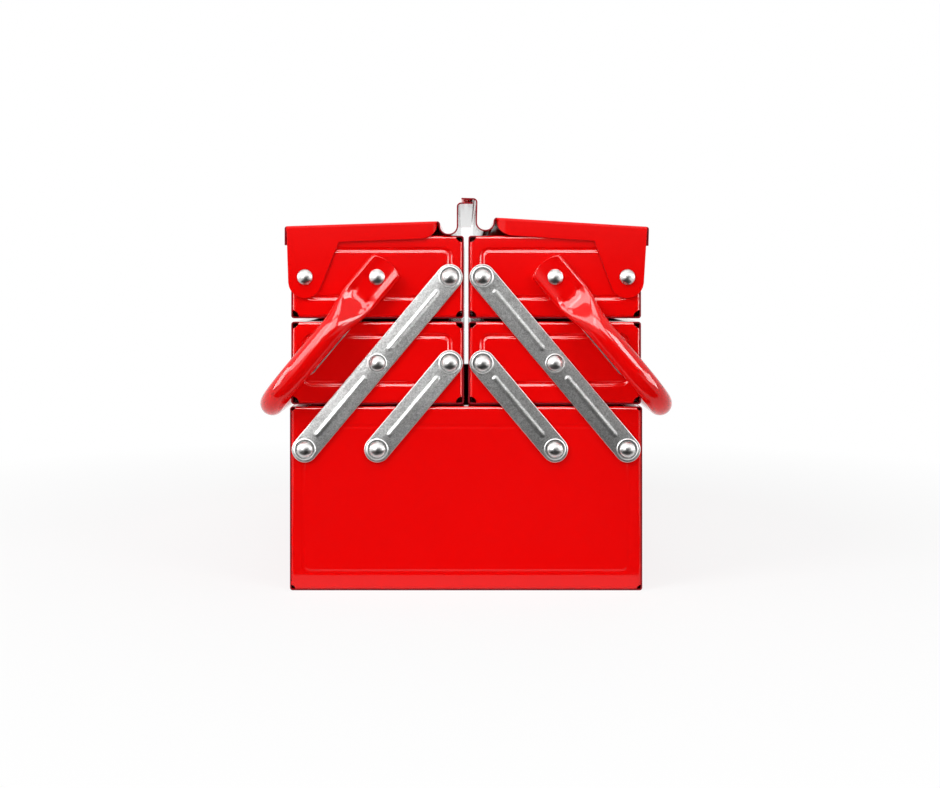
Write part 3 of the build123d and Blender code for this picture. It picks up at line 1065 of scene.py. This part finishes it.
# %% Centre line of a handle
lengths = ("Tube radius", "Flat thickness", "Flat end", "Shoulder", "Tip arc",
           "Dent depth", "Dent side", "Dent spread", "Bead rise", "Bead side", "Bead spread")
inputs = {"Plane normal": "Vector", **dict.fromkeys(lengths, "Float"), "Enamel": "Material"}
tree, route, size = new_tree("Handle", inputs)
curve = add(tree, "GeometryNodeMeshToCurve", {"Mesh": route}).outputs[0]
bend_radius = add(tree, "GeometryNodeInputNamedAttribute", {"Name": "bend"}, data_type="FLOAT")
bends = {"Curve": curve, "Count": 18, "Radius": bend_radius.outputs[0], "Limit Radius": True}
curve = add(tree, "GeometryNodeFilletCurve", bends, mode="POLY").outputs[0]
travel = Field(tree, add(tree, "GeometryNodeSplineParameter").outputs["Length"])
whole = Field(tree, add(tree, "GeometryNodeSplineLength").outputs["Length"])
print("handle tree:", len(tree.nodes), "nodes for the centre line")

# %% [markdown]
# The skin is a round tube at first. Each of its points remembers three things of the
# centre line, and how far round the section it is, so that it can be put elsewhere later.

# %% Skin of a handle
def capture(tree, geometry, **values):
    """Keeps fields on the geometry, to be read after it has become a surface."""
    node = add(tree, "GeometryNodeCaptureAttribute")
    tree.links.new(geometry, node.inputs[0])
    for number, (label, (kind, value)) in enumerate(values.items()):
        node.capture_items.new(kind, label)
        tree.links.new(value, node.inputs[number + 1])
    return node.outputs


kept = capture(
    tree, curve,
    centre=("VECTOR", add(tree, "GeometryNodeInputPosition").outputs[0]),
    heading=("VECTOR", add(tree, "GeometryNodeInputTangent").outputs[0]),
    from_end=("FLOAT", travel.at_most(whole - travel).socket),
)
tube = size["Tube radius"]
ring = add(tree, "GeometryNodeCurvePrimitiveCircle", {"Resolution": 72, "Radius": tube}).outputs[0]
round_share = add(tree, "GeometryNodeSplineParameter").outputs["Factor"]
round_kept = capture(tree, ring, share=("FLOAT", round_share))
skin = add(tree, "GeometryNodeCurveToMesh",
           {"Curve": kept[0], "Profile Curve": round_kept[0], "Fill Caps": True}).outputs[0]
from_end, share = Field(tree, kept["from_end"]), Field(tree, round_kept["share"])
print("handle tree:", len(tree.nodes), "nodes with its skin")

# %% [markdown]
# Pressing does not stretch the steel: the distance round the section stays the same while
# it changes from a circle to a flat slot. Points are wrapped round the slot by arc length,
# which is just that rule, and the thickness falls over the shoulder from the full tube
# to two layers of wall. At the tip the width follows an arc.

# %% From round to flat
opening = smooth_step(((from_end - size["Flat end"]) / size["Shoulder"]).at_least(0.0).at_most(1.0))
thick = size["Flat thickness"] * 0.5 * (1 - opening) + tube * opening
flat_half = (tube - thick) * quarter
wrap = tube * math.pi * (1 - (share * 2 - 1).math("ABSOLUTE"))
past_flat = wrap - flat_half
angle = past_flat.at_least(0.0).at_most(thick * math.pi) / thick
back = (past_flat - thick * math.pi).at_least(0.0)
across = wrap.at_most(flat_half) - back + thick * angle.math("SINE")
tip = size["Tip arc"] - from_end.at_most(size["Tip arc"])
tip_width = (size["Tip arc"] * size["Tip arc"] - tip * tip).at_least(0.0).math("SQRT")
across = across * (tip_width / (flat_half + thick)).at_most(1.0)
print("handle tree:", len(tree.nodes), "nodes with its section")

# %% [markdown]
# The press leaves a dent on each side where the shoulder starts and a raised bead along
# the edges of the flat end. Both are soft humps in the height of the outer face. They could
# be sculpted by hand, but then they would not follow a change of the tube.

# %% Marks of the press
def hump(value, middle, spread):
    """A smooth hump, 1 in the middle, that dies away over its spread."""
    away = (value - middle) / spread
    return (-(away * away)).math("EXPONENT")


dent_spread = size["Dent spread"]
dent = hump(from_end, size["Flat end"], dent_spread) * hump(across, size["Dent side"], dent_spread)
bead = hump(across, size["Bead side"], size["Bead spread"]) * (1 - opening)
height = angle.math("COSINE") * thick
outer_face = (height / thick).at_least(0.0)
height = height + outer_face * (bead * size["Bead rise"] - dent * size["Dent depth"])
across = across * (0.5 - share).math("SIGN")
print("handle tree:", len(tree.nodes), "nodes with the marks")

# %% [markdown]
# The worked out width and height are laid off from the centre line, the width along the
# normal of the handle's plane and the height square to both.

# %% Section in place
def vector_math(tree, operation, first, second):
    """A vector from two vectors, or with SCALE from a vector and a number."""
    sockets = {0: first, "Scale" if operation == "SCALE" else 1: second}
    return add(tree, "ShaderNodeVectorMath", sockets, operation=operation).outputs[0]


sideways = vector_math(tree, "SCALE", size["Plane normal"], across)
outward = vector_math(tree, "CROSS_PRODUCT", size["Plane normal"], kept["heading"])
offset = vector_math(tree, "ADD", sideways, vector_math(tree, "SCALE", outward, height))
wrapped = moved_to(tree, skin, vector_math(tree, "ADD", kept["centre"], offset))
close_tree(tree, weld(tree, wrapped), size["Enamel"])
handle_tree = tree
print("handle tree:", len(tree.nodes), "nodes in all")

# %% [markdown]
# The centre line starts at the tip of one flat end, close to the end panel, climbs out
# over the shoulder to clear the links, and turns round the corner of the box. The climb
# is steepest near the flat end and dies out gently, as a tube bends under a press.

# %% Route of a handle
tube_radius = 7 * MM
flat_depth, tube_depth = 3.3 * MM, 11.7 * MM
tongue_tip, flat_reach, climb_run, bar_bend = 10.8 * MM, 13.5 * MM, 49 * MM, 28 * MM
tip_run, climb_power = 2.5 * MM, 3.8
tip_steps, flat_steps, climb_steps = 7, 18, 40


def handle_route(hinge, arm, reach):
    """The centre line from one flattened end round the bail to the other, with its bends."""
    flat_start = tip_run - tongue_tip
    alongs = [flat_start - tip_run * math.cos(quarter * k / tip_steps) for k in range(tip_steps + 1)]
    alongs += [flat_start + (flat_reach - flat_start) * k / flat_steps for k in range(1, flat_steps + 1)]
    half = [(along, flat_depth) for along in alongs]
    for k in range(1, climb_steps + 1):
        share = k / climb_steps
        rise = 1 - (1 - share)**climb_power * (1 + climb_power * share)
        half.append((flat_reach + climb_run * share, flat_depth + (tube_depth - flat_depth) * rise))
    half.append((reach, tube_depth))
    points, bends = [], []
    for facing, run in ((-1, half), (1, half[::-1])):
        for along, depth in run:
            points.append(hinge + arm * along + Vector((0, facing * (end_face + depth), 0)))
            bends.append(bar_bend if along == reach else 0.0)
    return points, bends


print("clear of the end panel, mm:", round((tube_depth - tube_radius) / MM, 2))

# %% [markdown]
# The solid's own corner says where the bar is, and the hinge where the arms end. The line
# between them is the slant of the arms.

# %% Handles
for side, sign in SIDES:
    name = f"{side}_handle_bail"
    low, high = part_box(f"{side}_handle")
    hinge = pivots[f"{side}_handle_hinge"]
    bar = Vector((low.x + tube_radius if sign < 0 else high.x - tube_radius, 0, low.z + tube_radius))
    arm = (bar - hinge).normalized()
    points, bends = handle_route(hinge, arm, (bar - hinge).length)
    mesh = bpy.data.meshes.new(name)
    mesh.from_pydata(points, [(k, k + 1) for k in range(len(points) - 1)], [])
    mesh.attributes.new("bend", "FLOAT", "POINT").data.foreach_set("value", bends)
    normal = Vector((0, 1, 0)).cross(arm)
    values = {
        "Plane normal": tuple(normal), "Tube radius": tube_radius, "Flat thickness": tongue_thickness,
        "Flat end": tongue_tip + flat_reach, "Shoulder": 26.4 * MM, "Tip arc": 21.4 * MM,
        "Dent depth": 0.7 * MM, "Dent side": 5.8 * MM, "Dent spread": 1.8 * MM,
        "Bead rise": 0.85 * MM, "Bead side": 8.8 * MM, "Bead spread": 2.8 * MM, "Enamel": enamel,
    }
    piece = grown_piece(name, handle_tree, mesh, values)
    dress(piece, f"{side}_handle", [f"{side}_handle"], "red_enamel")

# %% [markdown]
# The studio has paper, cards and lamps, which are not part of the box. They share three
# small helpers: a flat piece, its empty material, and a test for whether a ray looks at
# the studio itself or gathers light for a matt surface.

# %% Studio helpers
def flat_piece(name, corners, material):
    """One rectangle of the studio."""
    mesh = bpy.data.meshes.new(name)
    mesh.from_pydata(corners, [], [(0, 1, 2, 3)])
    mesh.materials.append(material)
    obj = bpy.data.objects.new(name, mesh)
    scene.collection.objects.link(obj)
    return obj


def studio_material(name):
    """An empty node material for paper and cards."""
    material = bpy.data.materials.new(name)
    material.use_nodes = True
    tree = material.node_tree
    tree.nodes.clear()
    return material, tree, add(tree, "ShaderNodeOutputMaterial").inputs["Surface"]


def seen_directly(tree):
    """1 for the camera, for reflections and through glass, 0 for the light on matt things."""
    rays = add(tree, "ShaderNodeLightPath").outputs
    total = Field(tree, rays["Is Camera Ray"]) + Field(tree, rays["Is Glossy Ray"])
    return (total + Field(tree, rays["Is Transmission Ray"])).at_most(1.0)


print("studio helpers: a flat piece, its material and a test for rays")

# %% [markdown]
# The box stands on pale paper. For the camera and in reflections the paper is almost as
# white as the sky, and far from the box exactly as white, so no horizon shows. A plain
# matt floor would be grey beside a white sky, and a glowing one would hold no shadow. This
# one is a mix of both, with more of the matt paper close to the box.

# %% Floor
paper, tree, surface = studio_material("floor_paper")
matt = add(tree, "ShaderNodeBsdfDiffuse", {"Color": (0.7, 0.7, 0.7, 1)})
white = add(tree, "ShaderNodeEmission", {"Color": (1, 1, 1, 1), "Strength": 1.0})
place = add(tree, "ShaderNodeTexCoord").outputs["Object"]
away = Field(tree, add(tree, "ShaderNodeVectorMath", {0: place}, operation="LENGTH").outputs["Value"])
shaded_to, white_from, near_white = 0.25, 0.60, 0.84
whiteness = ((away - shaded_to) / (white_from - shaded_to)).at_least(0.0).at_most(1.0)
share = seen_directly(tree) * (whiteness * (1 - near_white) + near_white)
mixed = add(tree, "ShaderNodeMixShader", {0: share, 1: matt.outputs[0], 2: white.outputs[0]})
tree.links.new(mixed.outputs[0], surface)
far = 30
flat_piece("floor", [(-far, -far, 0), (far, -far, 0), (far, far, 0), (-far, far, 0)], paper)
print("floor, m:", 2 * far)

# %% [markdown]
# Gloss red turns pink where it mirrors white. A duller enamel would hide that, but lose
# its gloss. Photographers put up dark cards instead: one, graded from dark to light,
# stands behind the camera and another lies in front of the box. Both show in reflections
# only.

# %% Dark cards
card_dark, tree, surface = studio_material("card_dark")
spot = add(tree, "ShaderNodeSeparateXYZ", {0: add(tree, "ShaderNodeTexCoord").outputs["Object"]})
dark_to, fade, least, most = 0.16, 0.20, 0.025, 0.6
shade = ((Field(tree, spot.outputs[2]) - dark_to) / fade).at_least(least).at_most(1.0) * most
tree.links.new(add(tree, "ShaderNodeEmission", {"Strength": shade}).outputs[0], surface)
card_left, card_right, card_far, card_near, card_top, card_low = -0.27, 0.8, -1.25, -0.245, 0.44, 0.002
card_half = 0.27
cards = (
    ("standing_card", [(card_left, card_far, card_low), (card_right, card_far, card_low),
                       (card_right, card_far, card_top), (card_left, card_far, card_top)]),
    ("lying_card", [(-card_half, card_far, card_low), (card_half, card_far, card_low),
                    (card_half, card_near, card_low), (-card_half, card_near, card_low)]),
)
for name, corners in cards:
    card = flat_piece(name, corners, card_dark)
    card.visible_camera = card.visible_diffuse = card.visible_shadow = card.visible_transmission = False
    print(f"{name}: {len(corners)} corners")

# %% [markdown]
# The sky is plain white to look at and in reflections, but gives matt surfaces only a
# fifth of that, because the lamps below do that work and shape the box.

# %% Sky
world = bpy.data.worlds.new("room")
scene.world = world
world.use_nodes = True
tree = world.node_tree
tree.nodes.clear()
fill = 0.2
strength = seen_directly(tree) * (1 - fill) + fill
sky = add(tree, "ShaderNodeBackground", {"Color": (1, 1, 1, 1), "Strength": strength})
tree.links.new(sky.outputs[0], add(tree, "ShaderNodeOutputWorld").inputs["Surface"])
print("sky for matt surfaces:", fill)

# %% [markdown]
# Soft boxes give the matt part of the light: a large one at the upper left, a smaller one
# at the upper right, one overhead and one behind. They don't show in the gloss, where
# their outlines would lie across the flat panels.

# %% Soft boxes
front_middle = Vector((0, -end_face, 0.12))


def lamp(name, place, wide, high, brightness):
    """A rectangular lamp that looks at the front end; brightness is what its face shows."""
    data = bpy.data.lights.new(name, "AREA")
    data.shape, data.size, data.size_y = "RECTANGLE", wide, high
    data.energy = brightness * math.pi * wide * high
    obj = bpy.data.objects.new(name, data)
    obj.location = place
    obj.rotation_euler = (front_middle - Vector(place)).to_track_quat("-Z", "Y").to_euler()
    obj.visible_camera = False
    scene.collection.objects.link(obj)
    print(f"{name}: {data.energy:.1f} W")
    return obj


for name, place, wide, high, brightness in (
    ("key_left", (-1.0, -1.0, 1.1), 0.7, 0.7, 10),
    ("key_right", (0.95, -1.2, 0.95), 0.5, 0.5, 7),
    ("overhead", (0, -0.75, 1.5), 1.2, 0.5, 5.2),
    ("rear", (0.4, 1.9, 1.0), 1.0, 1.0, 5),
):
    lamp(name, place, wide, high, brightness).visible_glossy = False

# %% [markdown]
# Bright strips are there only to be mirrored: they draw a thin light line along every
# groove and tube. Each shows the pressed ends, the handles and the metal a brightness of
# its own, because plated metal mirrors ten times as much as enamel. One more strip, low
# on the right, lights the lower flanks of the links on the left.

# %% Strips
def strip_light(name, azimuth, elevation, reach, wide, high, brightness, pieces):
    """A lamp that only these pieces mirror; angles in degrees, azimuth from straight ahead."""
    round_z, up = math.radians(azimuth), math.radians(elevation)
    towards = Vector((math.sin(round_z) * math.cos(up), -math.cos(round_z) * math.cos(up), math.sin(up)))
    obj = lamp(name, front_middle + towards * reach, wide, high, brightness)
    obj.visible_diffuse = False
    obj.light_linking.receiver_collection = pieces


lit = {name: bpy.data.collections.new(name) for name in ("panels", "handles", "metal", "left_links")}
for piece in finished["red_enamel"]:
    for name, ending in (("panels", "pressings"), ("handles", "bail")):
        if piece.name.endswith(ending):
            lit[name].objects.link(piece)
for piece in finished["zinc_plating"] + finished["rivet_plating"]:
    lit["metal"].objects.link(piece)
    if piece.name.startswith("left") and piece.name.endswith("link_pair"):
        lit["left_links"].objects.link(piece)
far_strip, near_strip = 1.3, 0.5
for name, azimuth, elevation, wide, high, *shown in (
    ("front_strip", -4, 31, 1.0, 0.9, 20, 12, 1.0),
    ("top_strip", 0, 66, 1.0, 0.5, 16, 12, 0.6),
    ("left_strip", -48, 32, 1.05, 0.75, 14, 10, 1.2),
    ("right_strip", 45, 26, 0.65, 0.48, 18, 20, 1.3),
    ("low_left_strip", -31, 9, 0.62, 0.34, 1, 1, 4.6),
    ("left_side_strip", -82, 8, 0.6, 0.9, 13, 13, 2.0),
    ("right_side_strip", 72, 6, 0.9, 0.6, 13, 13, 2.0),
):
    for kind, brightness in zip(("panels", "handles", "metal"), shown):
        strip_light(f"{name}_on_{kind}", azimuth, elevation, far_strip, wide, high, brightness, lit[kind])
strip_light("low_right_strip", 28, -10, near_strip, 0.25, 0.05, 8, lit["left_links"])

# %% [markdown]
